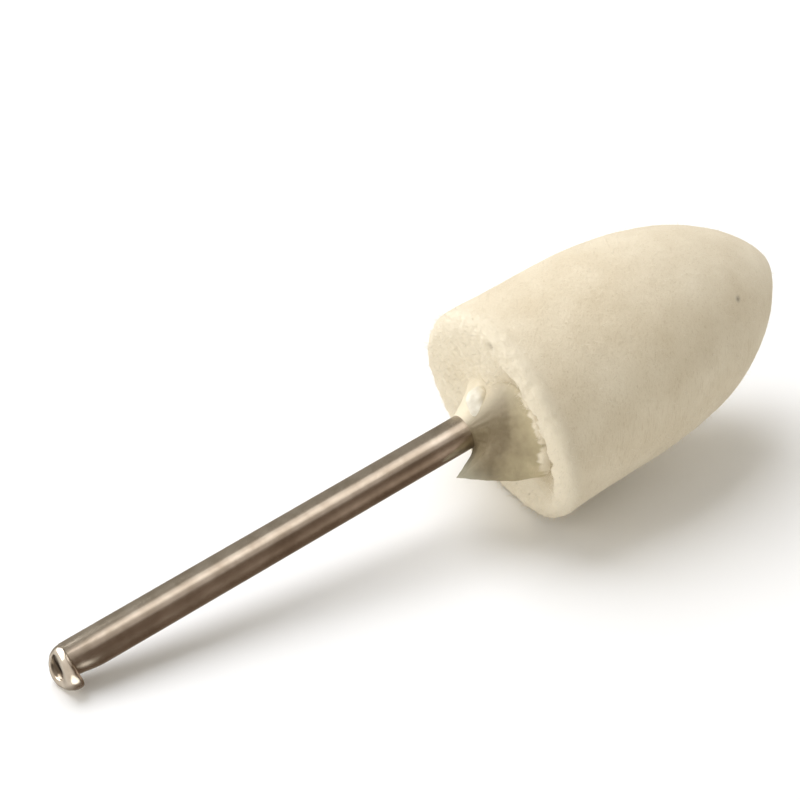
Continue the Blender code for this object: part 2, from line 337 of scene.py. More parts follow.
join(tree,
     (toward.outputs["Generated"], parts.inputs[0]),
     (parts.outputs["Y"], walls.inputs["Value"]),
     (walls.outputs["Result"], colour.inputs["Factor"]),
     (parts.outputs["X"], ahead.inputs["Value"]),
     (parts.outputs["Z"], level.inputs[0]),
     (level.outputs[0], away.inputs[0]),
     (away.outputs[0], low.inputs["Value"]),
     (ahead.outputs["Result"], side.inputs[0]),
     (low.outputs["Result"], side.inputs[1]),
     (walls.outputs["Result"], near.inputs[1]),
     (side.outputs[0], near_side.inputs[0]),
     (near.outputs[0], near_side.inputs[1]),
     (colour.outputs["Result"], with_side.inputs["A"]),
     (near_side.outputs[0], with_side.inputs["Factor"]),
     (parts.outputs["X"], behind.inputs["Value"]),
     (behind.outputs["Result"], with_left.inputs["Factor"]),
     (with_side.outputs["Result"], with_left.inputs["A"]),
     (toward.outputs["Generated"], facing.inputs[0]),
     (facing.outputs["Value"], front.inputs["Value"]),
     (front.outputs["Result"], with_floor.inputs["Factor"]),
     (with_left.outputs["Result"], with_floor.inputs["A"]),
     (with_floor.outputs["Result"], mirrored.inputs["Color"]),
     (rays.outputs["Is Glossy Ray"], choice.inputs["Fac"]),
     (pale.outputs[0], choice.inputs[1]),
     (mirrored.outputs[0], choice.inputs[2]),
     (choice.outputs[0], out.inputs["Surface"]))
print("world:", len(tree.nodes), "nodes")

# %% Lights
def soft_light(name, direction, distance, size, watts, colour=(1, 1, 1), mirrors=True, dull=True):
    """A square soft light, placed in a direction from the wheel and turned to face it."""
    data = bpy.data.lights.new(name, "AREA")
    data.size = size
    data.energy = watts
    data.color = colour
    light = bpy.data.objects.new(name, data)
    way = Vector(direction).normalized()
    light.location = rear_centre + way * distance
    light.rotation_euler = way.to_track_quat("Z", "Y").to_euler()
    light.visible_glossy = mirrors
    light.visible_diffuse = dull
    light.visible_camera = False
    bpy.context.scene.collection.objects.link(light)
    return light


DAYLIGHT = (0.98, 0.995, 1.05)
WARM_WHITE = (1.0, 0.985, 0.965)
SOFT_WHITE = (1.0, 0.99, 0.96)
LAMP = (1.0, 0.94, 0.86)

for_felt = {"mirrors": False}
for_steel = {"dull": False}
lights = [
    soft_light("overhead", (-0.10, 0.45, 1.0), 0.50, 0.40, 2.1, DAYLIGHT, **for_felt),
    soft_light("left", (-1.0, 0.45, 0.30), 0.50, 0.50, 1.15, WARM_WHITE, **for_felt),
    soft_light("face", (-1.0, -0.10, 0.13), 0.50, 0.12, 0.32, SOFT_WHITE, **for_felt),
    soft_light("right", (1.0, 0.0, 0.25), 0.50, 0.35, 0.40, SOFT_WHITE, **for_felt),
    soft_light("strip", (0.09, -0.06, 0.99), 0.45, 0.30, 0.325, LAMP, **for_steel),
    soft_light("wide", (0.11, -0.42, 0.90), 0.45, 0.40, 0.21, LAMP, **for_steel),
    soft_light("glint", (-0.62, 0.62, 0.48), 0.45, 0.36, 2.0, (1.0, 0.99, 0.95), **for_steel),
]
bpy.context.scene.view_settings.view_transform = "Standard"
print("lights:", [light.name for light in lights])

# %% [markdown]
# ## Surfaces from rings
#
# Every piece here is a stack of rings, round the shank or round the head. A ring has the same
# number of points as the next one, so faces between them are plain quads, and a single point
# closes each end. The relief, all the small ups and downs, is added afterwards along the surface's
# own normals, so the same helper serves felt, glue and steel.

# %% Ring and relief helpers
def skin(name, rings, start, end):
    """One closed surface through rings of points, closed by a point at the start and the end."""
    count = rings.shape[1]
    points = np.concatenate([rings.reshape(-1, 3), [start, end]])
    corner = np.arange(len(rings) * count).reshape(len(rings), count)
    turned = np.roll(corner, -1, axis=1)
    quads = np.stack([corner[:-1], corner[1:], turned[1:], turned[:-1]], axis=-1).reshape(-1, 4)
    first, last = len(points) - 2, len(points) - 1
    fan_in = [(first, int(a), int(b)) for a, b in zip(corner[0], turned[0])]
    fan_out = [(last, int(b), int(a)) for a, b in zip(corner[-1], turned[-1])]
    mesh = bpy.data.meshes.new(name)
    mesh.from_pydata(points.tolist(), [], quads.tolist() + fan_in + fan_out)
    mesh.shade_smooth()
    mesh.update()
    return mesh


def points_of(mesh):
    flat = np.empty(len(mesh.vertices) * 3, np.float32)
    mesh.vertices.foreach_get("co", flat)
    return flat.reshape(-1, 3).astype(float)


def normals_of(mesh):
    flat = np.empty(len(mesh.vertices) * 3, np.float32)
    mesh.vertex_normals.foreach_get("vector", flat)
    return flat.reshape(-1, 3).astype(float)


def place_points(mesh, points):
    mesh.vertices.foreach_set("co", points.astype(np.float32).ravel())
    mesh.update()


def raise_by(mesh, heights):
    """Move each point along its normal by its own height."""
    place_points(mesh, points_of(mesh) + normals_of(mesh) * heights[:, None])


def lumps(points, size, seed):
    """Smooth noise from -1 to 1 at each point, with lumps of about that size."""
    shift = Vector((seed * 7.3, seed * 3.1, seed * 5.7))
    return np.array([noise.noise(Vector(p) + shift) for p in (points / size).tolist()])


def smooth_step(value, low, high):
    share = np.clip((value - low) / (high - low), 0, 1)
    return share * share * (3 - 2 * share)


def turn_from(angle, centre):
    """Angle from a centre, between -pi and pi."""
    return np.remainder(angle - centre + math.pi, 2 * math.pi) - math.pi


def hump(angle, centre, width):
    """A smooth hump round one angle, both in radians."""
    return np.exp(-((turn_from(angle, centre) / width) ** 2))


def even_steps(outline, spacing):
    """The same outline, with its points a fixed distance apart."""
    outline = np.array(outline)
    steps = np.linalg.norm(np.diff(outline, axis=0), axis=1)
    run = np.concatenate([[0], np.cumsum(steps)])
    at = np.linspace(0, run[-1], round(run[-1] / spacing) + 1)
    return np.column_stack([np.interp(at, run, outline[:, i]) for i in range(outline.shape[1])])


def finish_piece(mesh, name, material, node):
    """Lay an upright mesh down in the row, give it its finish, and let it stand for a CAD node."""
    mesh.transform(lay_down.to_4x4())
    mesh.materials.append(material)
    piece = bpy.data.objects.new(name, mesh)
    bpy.context.scene.collection.objects.link(piece)
    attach(piece, "root")
    if node:
        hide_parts(node)
    print(f"{name}: {len(mesh.vertices)} points, {len(mesh.polygons)} faces")


# %% [markdown]
# ## The collar's shape
#
# When the shank was pushed in, wet glue soaked the felt round it and drew it up into a hollow cone.
# On one side it tore into a pointed horn, whose crest falls straight to the edge of the rear face.
# The felt head needs to know where the collar's foot lies, so its shape comes first.

# %% Collar: foot, crest and height
COLLAR_HEIGHT = 3.0 * MM
COLLAR_RADIUS = 3.6 * MM
LOBE_RADIUS = 8.2 * MM
COLLAR_SAG = 1.35
HORN_HEIGHT = 5.7 * MM
HORN_REACH = 3.1 * MM
HORN_HOLLOW = 1.4
LOBE_ANGLE = math.radians(-70)
LOBE_SPREAD = math.radians(58)
LOBE_UPPER_SPREAD = math.radians(44)
CREST_ANGLE = math.radians(-31)
CREST_SHARP_SIDE = math.radians(11)
CREST_SOFT_SIDE = math.radians(36)


def collar_foot(angle):
    away = turn_from(angle, LOBE_ANGLE)
    away = away / np.where(away > 0, LOBE_SPREAD, LOBE_UPPER_SPREAD)
    return COLLAR_RADIUS + (LOBE_RADIUS - COLLAR_RADIUS) * np.exp(-(away**4))


def collar_height(radius, angle):
    """Height above the rear face: a hollow cone, with the horn's fin across it."""
    share = np.clip((radius - SHANK_RADIUS) / (collar_foot(angle) - SHANK_RADIUS), 0, 1)
    cone = COLLAR_HEIGHT * (1 - share) ** COLLAR_SAG
    climb = np.clip((radius - SHANK_RADIUS) / (HORN_REACH - SHANK_RADIUS), 0, 1) ** HORN_HOLLOW
    fall = np.clip((radius - HORN_REACH) / (LOBE_RADIUS - HORN_REACH), 0, 1)
    top = np.where(radius < HORN_REACH, COLLAR_HEIGHT + (HORN_HEIGHT - COLLAR_HEIGHT) * climb,
                   HORN_HEIGHT * (1 - fall))
    away = turn_from(angle, CREST_ANGLE * np.sqrt(fall))
    spread = np.where(away > 0, CREST_SHARP_SIDE, CREST_SOFT_SIDE)
    return cone + np.maximum(top - cone, 0) * np.exp(-((away / spread) ** 2))


print("collar foot from", round(COLLAR_RADIUS / MM, 1), "to", round(LOBE_RADIUS / MM, 1), "mm")

# %% [markdown]
# ## The felt head
#
# Hard wool felt is cut and sanded to shape, so its outline is fair but never perfect. A revolved
# profile alone looks like plastic. The relief goes from large to small: the sander's slow waves,
# the lumps of the wool, and the loose nap. The rear edge is rounded and fluffed up, and inside it
# the rear face is cut rougher and lies a little deeper, with a ragged step between.

# %% Head: outline
STRAIGHT = 9.0 * MM
REAR_ROUNDING = 1.5 * MM
NOSE_FULLNESS = 2.57
NOSE_BLUNTNESS = 0.765
NOSE_STEPS = 800
NOSE_CROWDING = 0.6
TIP_ROUND = 2.6 * MM
TIP_ROUND_FADE = 12
BORE_RADIUS = 2.2 * MM
BORE_DEPTH = 18.8 * MM
FELT_SPACING = 0.18 * MM
FELT_TURNS = 360

shoulder_z = REAR_Z + STRAIGHT
share = np.linspace(1, 0, NOSE_STEPS) ** NOSE_CROWDING
fall = 1 - share**NOSE_FULLNESS
tip_round = TIP_ROUND**2 * fall * share**TIP_ROUND_FADE
nose_radius = np.sqrt((HEAD_RADIUS * fall**NOSE_BLUNTNESS) ** 2 + tip_round)
nose = np.column_stack([nose_radius, shoulder_z + (TIP_Z - shoulder_z) * share])
bend = np.radians(np.linspace(0, -90, 24))
edge = HEAD_RADIUS - REAR_ROUNDING
rear_edge = np.column_stack([edge + REAR_ROUNDING * np.cos(bend),
                             REAR_Z + REAR_ROUNDING * (1 + np.sin(bend))])
bore = [(BORE_RADIUS, REAR_Z), (BORE_RADIUS, REAR_Z + 1.2 * MM)]
outline = even_steps(np.concatenate([nose, rear_edge, bore]), FELT_SPACING)
print(len(outline), "rings,", round(outline[-1][1] / MM, 2), "mm")

# %% Head: rings
angles = np.linspace(0, 2 * math.pi, FELT_TURNS, endpoint=False)
circle = np.column_stack([np.cos(angles), np.sin(angles)])
rings = np.zeros((len(outline) - 1, FELT_TURNS, 3))
rings[:, :, :2] = outline[1:, 0, None, None] * circle[None]
rings[:, :, 2] = outline[1:, 1, None]
is_bore = (outline[1:, 0] < BORE_RADIUS * 1.05) & (outline[1:, 1] < shoulder_z)
rings[~is_bore, :, :2] += HEAD_CENTRE
deep = REAR_Z + BORE_DEPTH
inner = np.array([rings[-1] * (1, 1, 0) + (0, 0, z) for z in (deep - 1 * MM, deep)])
rings = np.concatenate([rings, inner])
felt = skin("felt_body", rings, (*HEAD_CENTRE, TIP_Z), (0, 0, deep))
print(len(rings), "rings of", FELT_TURNS, "points")

# %% Head: fuller on one side, with an uneven rear edge
SWELL = 0.016
NOSE_SWELL = 0.032
SWELL_ANGLE = LEAN_ANGLE - math.radians(5)
SWELL_SPREAD = math.radians(48)
NOSE_FROM, NOSE_FULL = 14 * MM, 25 * MM
EDGE_FLARE = 0.32 * MM
FLARE_REACH = 2.6 * MM
EDGE_CUT = 0.45 * MM
CUT_ANGLE, CUT_SPREAD = math.radians(5), math.radians(38)
EDGE_BULGE = 0.50 * MM
BULGE_ANGLE, BULGE_SPREAD = math.radians(108), math.radians(40)

here = points_of(felt)
from_head = here[:, :2] - HEAD_CENTRE
radius = np.hypot(from_head[:, 0], from_head[:, 1])
around = np.arctan2(from_head[:, 1], from_head[:, 0])
along = here[:, 2] - REAR_Z
off_bore = smooth_step(radius, 4.5 * MM, 8 * MM)
skin_part = off_bore + smooth_step(along, 18 * MM, 20 * MM)
side = hump(around, SWELL_ANGLE, SWELL_SPREAD) * np.clip(skin_part, 0, 1)
growth = SWELL + NOSE_SWELL * smooth_step(along, NOSE_FROM, NOSE_FULL)
flare = EDGE_FLARE * np.exp(-((along / FLARE_REACH) ** 2)) / np.maximum(radius, MM)
here[:, :2] += from_head * (side * (growth + flare))[:, None]
at_rear = (1 - smooth_step(along, 0.5 * MM, 5 * MM)) * off_bore
cut = EDGE_CUT * hump(around, CUT_ANGLE, CUT_SPREAD)
bulge = EDGE_BULGE * hump(around, BULGE_ANGLE, BULGE_SPREAD)
here[:, 2] += at_rear * (cut - bulge)
place_points(felt, here)
print(f"fuller by up to {(side * (growth + flare) * radius).max() / MM:.2f} mm")

# %% Head: relief
WAVES = 0.10 * MM
LUMPS = 0.045 * MM
NAP = 0.018 * MM
EDGE_FLUFF = 0.10 * MM
REAR_STEP = 0.26 * MM
RAGGED = 0.85 * MM
RING_LIFT = 0.16 * MM
LOBE_SIDE_ANGLE = math.radians(-64)
LOBE_SIDE_SPREAD = math.radians(46)

here = points_of(felt)
turned = np.arctan2(here[:, 1], here[:, 0]) - LEAN_ANGLE
outside = (along < REAR_ROUNDING * 1.4) & (radius > BORE_RADIUS * 1.3)
on_face = outside & (along < 0.02 * MM)
rear = outside * (1 - smooth_step(along, 0.4 * MM, 1.9 * MM))
tufts = lumps(here, 0.55 * MM, 3)
height = WAVES * lumps(here, 8 * MM, 1) + LUMPS * lumps(here, 2.1 * MM, 2)
height += NAP * tufts + NAP * 0.6 * lumps(here, 0.3 * MM, 5)
height += rear * EDGE_FLUFF * (lumps(here, 0.8 * MM, 4) + 0.7 * tufts)
lobe_side = np.exp(-((turn_from(turned, LOBE_SIDE_ANGLE) / LOBE_SIDE_SPREAD) ** 4))
ragged_edge = edge - 0.35 * MM + RAGGED * (0.7 * lumps(here, 0.9 * MM, 6) + 0.5 * tufts)
inside_step = on_face * (1 - smooth_step(radius, ragged_edge - 0.25 * MM, ragged_edge + 0.1 * MM))
height -= REAR_STEP * inside_step * (0.15 + 0.85 * lobe_side)
outer_ring = (1 - inside_step) * smooth_step(radius, 6 * MM, 7.6 * MM)
height += RING_LIFT * rear * lobe_side * outer_ring
print(int(on_face.sum()), "points lie on the rear face")

# %% Head: chance marks: angle, radius, height above the rear face, size, depth and darkness
MARKS = (
    (math.radians(-125.6), 8.7 * MM, 0.1 * MM, 0.34 * MM, 0.22 * MM, 0.45),
    (math.radians(-76.5), 8.0 * MM, 22.3 * MM, 0.24 * MM, 0.05 * MM, 0.9),
    (math.radians(-86.5), 8.0 * MM, 22.2 * MM, 0.70 * MM, 0.07 * MM, 0.0),
)
specks = np.zeros(len(here))
for angle, out_to, up_to, size, depth, dark in MARKS:
    bearing = angle + LEAN_ANGLE
    place = np.array([out_to * math.cos(bearing), out_to * math.sin(bearing), REAR_Z + up_to])
    near = np.exp(-(np.linalg.norm(here - place, axis=1) / size) ** 2)
    height -= depth * near
    specks = np.maximum(specks, dark * near)
raise_by(felt, height)
print(f"relief from {height.min() / MM:.2f} to {height.max() / MM:.2f} mm")

# %% [markdown]
# On the collar's lobe side the rear face is darker inside the ragged step: partly glue stain,
# partly painted shade beside the collar. The mesh knows where that is, so it keeps this darkening
# as a number on each point, and the material reads it with an Attribute node.

# %% Head: stain and painted shade
def keep_mask(mesh, name, values):
    """Store one number for each point, which materials read by name."""
    layer = mesh.attributes.new(name, "FLOAT", "POINT")
    layer.data.foreach_set("value", np.clip(values, 0, 1).astype(np.float32))


# Partly glue stain, partly painted shade: the face is darker inside the ragged step on the lobe
# side.
keep_mask(felt, "stain_and_shade", inside_step * lobe_side)
keep_mask(felt, "speck", specks)
keep_mask(felt, "fluff", rear * (1 - inside_step * lobe_side))
print("masks:", [layer.name for layer in felt.attributes if layer.data_type == "FLOAT"])

# %% Head: material
FELT_DARK = (0.655, 0.545, 0.37, 1)
FELT_LIGHT = (0.86, 0.768, 0.59, 1)
FELT_FLUFF = (0.79, 0.71, 0.55, 1)
FELT_SPECK = (0.20, 0.165, 0.12, 1)
# Glue stain and painted shade on the rear face, beside the collar.
FELT_STAIN_AND_SHADE = (0.46, 0.38, 0.24, 1)

felt_finish = bpy.data.materials.new("wool_felt")
felt_finish.use_nodes = True
tree = felt_finish.node_tree
shader = tree.nodes["Principled BSDF"]
fibres = place_group(tree, wool, Fibres_per_mm=3.6, Crimp=0.9)
clouds = place_group(tree, cloud, Cloud_mm=5.0, Contrast=2.2)
tone = add_node(tree, "ShaderNodeMath", {1: 0.45}, operation="MULTIPLY_ADD")
half = add_node(tree, "ShaderNodeMath", {1: 0.55}, operation="MULTIPLY")
cream = add_node(tree, "ShaderNodeMix", {"A": FELT_DARK, "B": FELT_LIGHT}, data_type="RGBA")
colour = cream.outputs["Result"]
for mask, paint in (("fluff", FELT_FLUFF), ("stain_and_shade", FELT_STAIN_AND_SHADE), ("speck", FELT_SPECK)):
    colour = tint_by_mask(tree, colour, mask, paint)
bump = add_node(tree, "ShaderNodeBump", {"Strength": 0.6, "Distance": 0.07 * MM})
join(tree,
     (clouds.outputs["Cloud"], half.inputs[0]),
     (fibres.outputs["Fibre"], tone.inputs[0]),
     (half.outputs[0], tone.inputs[2]),
     (tone.outputs[0], cream.inputs["Factor"]),
     (colour, shader.inputs["Base Color"]),
     (fibres.outputs["Height"], bump.inputs["Height"]),
     (bump.outputs["Normal"], shader.inputs["Normal"]))
shader.inputs["Roughness"].default_value = 0.95
shader.inputs["Specular IOR Level"].default_value = 0.15
shader.inputs["Sheen Weight"].default_value = 0.25
shader.inputs["Sheen Roughness"].default_value = 0.5
shader.inputs["Sheen Tint"].default_value = (1.0, 0.96, 0.88, 1)
finish_piece(felt, "felt_body", felt_finish, "felt_head")

# %% [markdown]
# ## The soaked collar
#
# Soaked fibres dry into a stiff skin with ridges that run from the shank outwards. The surface is a
# height for each place round the shank, so it is a fine polar grid: an outer skin, and an underside
# that sinks into the felt, where nobody sees it.

# %% Collar: mesh
COLLAR_TURNS = 420
COLLAR_STEPS = 84
COLLAR_CROWDING = 1.15
BURIED = 0.7 * MM
STREAKS = 0.05 * MM
STREAKS_ROUND = 11
STREAKS_LONG = 3 * MM
WOBBLES_ROUND = 5
INNER_REACH = SHANK_RADIUS * 0.97
FOOT_WOBBLE = 0.25 * MM
FOOT_SPARE = 0.35 * MM

angles = np.linspace(0, 2 * math.pi, COLLAR_TURNS, endpoint=False)
shares = np.linspace(0, 1, COLLAR_STEPS)[:, None] ** COLLAR_CROWDING
wobble = FOOT_WOBBLE * np.array([
    noise.noise(Vector((math.cos(a) * WOBBLES_ROUND, math.sin(a) * WOBBLES_ROUND, 2.0)))
    for a in angles])
foot = collar_foot(angles)[None] + wobble[None] + FOOT_SPARE
reach = INNER_REACH + (foot - INNER_REACH) * shares
around = np.broadcast_to(angles[None], reach.shape)
rise = collar_height(reach, around)
round_and_out = zip(np.cos(around.ravel()) * STREAKS_ROUND, np.sin(around.ravel()) * STREAKS_ROUND,
                    reach.ravel() / STREAKS_LONG)
streak = np.array([noise.noise(Vector(place)) for place in round_and_out]).reshape(reach.shape)
rise = rise + STREAKS * streak * smooth_step(reach, SHANK_RADIUS, SHANK_RADIUS + 0.6 * MM)
rise = rise - BURIED * smooth_step(shares, 0.90, 1.0)
top = np.stack([reach * np.cos(around + LEAN_ANGLE), reach * np.sin(around + LEAN_ANGLE),
                REAR_Z - rise], axis=-1)
under = top[::-1][:: COLLAR_STEPS // 4].copy()
under[:, :, 2] = REAR_Z + BURIED * 1.4
print("collar grid", top.shape[:2])

# %% Collar: closed mesh, an annulus whose last ring meets its first
def tube_skin(name, rings):
    """One closed surface through rings of points, the last of which joins the first."""
    count = rings.shape[1]
    corner = np.arange(len(rings) * count).reshape(len(rings), count)
    turned = np.roll(corner, -1, axis=1)
    follow = np.roll(corner, -1, axis=0)
    follow_turned = np.roll(turned, -1, axis=0)
    quads = np.stack([corner, follow, follow_turned, turned], axis=-1).reshape(-1, 4)
    mesh = bpy.data.meshes.new(name)
    mesh.from_pydata(rings.reshape(-1, 3).tolist(), [], quads.tolist())
    mesh.shade_smooth()
    mesh.update()
    return mesh


collar = tube_skin("soaked_collar", np.concatenate([top, under]))
here = points_of(collar)
reach_now = np.hypot(here[:, 0], here[:, 1])
turned = np.arctan2(here[:, 1], here[:, 0]) - LEAN_ANGLE
stands = REAR_Z - here[:, 2]
relief = 0.05 * MM * lumps(here, 1.0 * MM, 11) + 0.022 * MM * lumps(here, 0.35 * MM, 12)
off_shank = smooth_step(reach_now, SHANK_RADIUS, SHANK_RADIUS + 0.5 * MM)
raise_by(collar, relief * (stands > 0) * off_shank)
print(f"collar stands up to {stands.max() / MM:.1f} mm off the rear face")

# %% [markdown]
# Four masks say how the collar changes from place to place: where the horn is; the upper side,
# which keeps the felt's colour, partly felt that stayed dry and partly painted light; the painted
# lighting, painted shade at the shank's root giving way to painted bounce light further out, with a
# patch of painted shade on the lobe side; and where the rim is torn. The rim's noise only changes
# round the shank, so its teeth stay whole, with no loose specks.

# %% Collar: masks
HORN_SPREAD = math.radians(28)
UPPER_SIDE_ANGLE = math.radians(-170)
UPPER_SIDE_SPREAD = math.radians(68)
SHADE_PATCH_ANGLE = math.radians(-74)
SHADE_PATCH_SPREAD = math.radians(28)
SHADE_PATCH_STRENGTH = 0.24
TORN_RIM = (7.55 * MM, 7.85 * MM)
RIM_THICK = 0.9 * MM
LIGHTER_OUTWARD = (3.4 * MM, 9.4 * MM)

horn_near = np.exp(-((turn_from(turned, 0) / HORN_SPREAD) ** 2))
horn_near = horn_near * smooth_step(stands, 2.5 * MM, 5.2 * MM)
# The upper side keeps the felt's colour: partly felt that stayed dry, partly painted light.
dry_and_lit_side = np.exp(-((turn_from(turned, UPPER_SIDE_ANGLE) / UPPER_SIDE_SPREAD) ** 4))
# Painted shade: a darker patch on the lobe side, taken off the painted lighting.
shade_patch = SHADE_PATCH_STRENGTH * hump(turned, SHADE_PATCH_ANGLE, SHADE_PATCH_SPREAD)
on_rim = here[:, :2] / np.maximum(reach_now, MM)[:, None] * LOBE_RADIUS
rim = np.column_stack([on_rim, np.zeros(len(here))])
torn = reach_now + 0.45 * MM * lumps(rim, 0.75 * MM, 14) + 0.35 * MM * lumps(rim, 0.40 * MM, 15)
keep_mask(collar, "horn", horn_near)
keep_mask(collar, "dry_and_painted_light", dry_and_lit_side)
keep_mask(collar, "edge", smooth_step(torn, *TORN_RIM) * (stands < RIM_THICK))
# Painted lighting: painted shade at the shank's root, painted bounce light further out.
keep_mask(collar, "painted_lighting", smooth_step(reach_now, *LIGHTER_OUTWARD) - shade_patch)
print("masks:", [layer.name for layer in collar.attributes if layer.data_type == "FLOAT"])

# %% Collar: material
SOAKED_DARK = (0.165, 0.125, 0.066, 1)
SOAKED_LIGHT = (0.62, 0.53, 0.33, 1)
HORN_GREY = (0.46, 0.435, 0.33, 1)
PLAIN_FELT = (0.76, 0.68, 0.52, 1)

collar_finish = bpy.data.materials.new("glue_soaked_felt")
collar_finish.use_nodes = True
tree = collar_finish.node_tree
shader = tree.nodes["Principled BSDF"]
fibres = place_group(tree, wool, Fibres_per_mm=4.0, Crimp=0.5)
clouds = place_group(tree, cloud, Cloud_mm=2.2, Contrast=2.6)
# The soaked colours are mixed by the painted lighting: painted shade at the root, painted bounce
# light outwards.
painted_lighting = add_node(tree, "ShaderNodeAttribute", attribute_name="painted_lighting")
patches = add_node(tree, "ShaderNodeMath", {1: 0.35, 2: -0.175}, operation="MULTIPLY_ADD")
patches_and_lighting = add_node(tree, "ShaderNodeMath", operation="ADD", use_clamp=True)
soaked = add_node(tree, "ShaderNodeMix", {"A": SOAKED_DARK, "B": SOAKED_LIGHT}, data_type="RGBA")
colour = soaked.outputs["Result"]
# The upper side's felt colour is partly dry felt, partly painted light; the torn rim is plain felt.
for mask, paint in (("dry_and_painted_light", PLAIN_FELT), ("edge", PLAIN_FELT), ("horn", HORN_GREY)):
    colour = tint_by_mask(tree, colour, mask, paint)
bump = add_node(tree, "ShaderNodeBump", {"Strength": 0.45, "Distance": 0.05 * MM})
join(tree,
     (clouds.outputs["Cloud"], patches.inputs[0]),
     (patches.outputs[0], patches_and_lighting.inputs[0]),
     (painted_lighting.outputs["Fac"], patches_and_lighting.inputs[1]),
     (patches_and_lighting.outputs[0], soaked.inputs["Factor"]),
     (colour, shader.inputs["Base Color"]),
     (fibres.outputs["Height"], bump.inputs["Height"]),
     (bump.outputs["Normal"], shader.inputs["Normal"]))
shader.inputs["Roughness"].default_value = 0.62
shader.inputs["Specular IOR Level"].default_value = 0.35
finish_piece(collar, "soaked_collar", collar_finish, "glue_collar")

# %% [markdown]
# ## The drop of glue
#
# A little clear glue ran out on the upper side and dried whitish. It sits on a steep flank of the
# collar, where a height over the rear face would smear it into a fin. So it is a small ball,
# pressed a little flat, placed in the directions of the surface it sits on: outwards along the
# collar, across it, and off it. Noise makes it lumpy. Half of it is sunk.

# %% Drop: mesh
DROP_ANGLE = math.radians(-129)
DROP_REACH = 2.65 * MM
DROP_LONG = 1.15 * MM
DROP_WIDE = 1.20 * MM
DROP_THICK = 1.00 * MM
DROP_TURNS = 80
DROP_RINGS = 40


def on_collar(reach, bearing):
    """A point of the collar's surface, at a reach and an angle from the leaning side."""
    height = float(collar_height(np.array(reach), np.array(bearing)))
    turned_to = bearing + LEAN_ANGLE
    return np.array([reach * math.cos(turned_to), reach * math.sin(turned_to), REAR_Z - height])


def slope_of_collar(step_out, step_round):
    """The way from a point just before the drop's middle to a point just past it."""
    return (on_collar(DROP_REACH + step_out, DROP_ANGLE + step_round)
            - on_collar(DROP_REACH - step_out, DROP_ANGLE - step_round))


centre = on_collar(DROP_REACH, DROP_ANGLE)
outward = slope_of_collar(0.5 * MM, 0)
across = slope_of_collar(0, 0.15)
outward, across = outward / np.linalg.norm(outward), across / np.linalg.norm(across)
off_surface = np.cross(across, outward)
off_surface /= np.linalg.norm(off_surface)
if off_surface[2] > 0:
    off_surface = -off_surface
spokes = np.linspace(0, 2 * math.pi, DROP_TURNS, endpoint=False)
flat = np.outer(np.cos(spokes) * DROP_LONG, outward) + np.outer(np.sin(spokes) * DROP_WIDE, across)
drop_rings = []
for fall in np.linspace(0, math.pi, DROP_RINGS + 2)[1:-1]:
    drop_rings.append(centre + flat * math.sin(fall) + off_surface * DROP_THICK * math.cos(fall))
drop = skin("glue_drop", np.array(drop_rings), tuple(centre + off_surface * DROP_THICK),
            tuple(centre - off_surface * DROP_THICK))
here = points_of(drop)
raise_by(drop, 0.24 * MM * lumps(here, 1.2 * MM, 21) + 0.06 * MM * lumps(here, 0.45 * MM, 22))
print("drop:", len(drop_rings), "rings of", DROP_TURNS, "points")

# %% Drop: material
DROP_THIN = (0.74, 0.69, 0.57, 1)
DROP_THICKEST = (0.86, 0.82, 0.71, 1)

drop_finish = bpy.data.materials.new("clear_glue")
drop_finish.use_nodes = True
tree = drop_finish.node_tree
shader = tree.nodes["Principled BSDF"]
clouds = place_group(tree, cloud, Cloud_mm=0.7, Contrast=2.6)
milky = add_node(tree, "ShaderNodeMix", {"A": DROP_THIN, "B": DROP_THICKEST}, data_type="RGBA")
bump = add_node(tree, "ShaderNodeBump", {"Strength": 0.3, "Distance": 0.06 * MM})
join(tree,
     (clouds.outputs["Cloud"], milky.inputs["Factor"]),
     (milky.outputs["Result"], shader.inputs["Base Color"]),
     (clouds.outputs["Cloud"], bump.inputs["Height"]),
     (bump.outputs["Normal"], shader.inputs["Normal"]))
shader.inputs["Roughness"].default_value = 0.7
shader.inputs["Specular IOR Level"].default_value = 0.3
finish_piece(drop, "glue_drop", drop_finish, "glue_bead")

# %% [markdown]
# ## The shank
#
# The shank is drawn wire, cut off and rolled over at its free end. The lip isn't round about the
# shank: it was pushed to one side, where it is thick, and its face turned a little. So each ring
# has its own centre and its own tilt, and the skin joins them as it does any others. Behind the lip
# the wire is pinched. Small dents in the lip come from noise, and the dish is painted dark, as
# painted shade in its hollow.

# %% Shank: the stem and its neck
LIP_RADIUS = 1.925 * MM
LIP_SHIFT = 0.40 * MM
LIP_THICK = 0.66 * MM
LIP_THICK_LEAN = 0.62 * MM
LIP_ROUND = 0.30 * MM
LIP_BACK_FAR = 0.42 * MM
LIP_SLOPE = 0.45 * MM
LIP_SLOPE_LEAN = 0.35 * MM
LIP_TILT = 0.25
LEAN_SPREAD = math.radians(62)
NECK_RADIUS = 1.46 * MM
NECK_SHIFT = -0.12 * MM
NECK_LONG = 1.7 * MM
DISH_MOUTH = 1.02 * MM
DISH_ROUND = 0.12 * MM
DISH_SHIFT = 0.05 * MM
DISH_FLOOR = 0.55 * MM
CHAMFER = 0.4 * MM
SHANK_TURNS = 160

angles = np.linspace(0, 2 * math.pi, SHANK_TURNS, endpoint=False)
circle = np.column_stack([np.cos(angles), np.sin(angles)])
lean = np.array([math.cos(LEAN_ANGLE), math.sin(LEAN_ANGLE)])
lip_back = LIP_Z + LIP_THICK
lean_side = hump(angles, LEAN_ANGLE, LEAN_SPREAD)
far_side = hump(angles, LEAN_ANGLE + math.pi, LEAN_SPREAD)


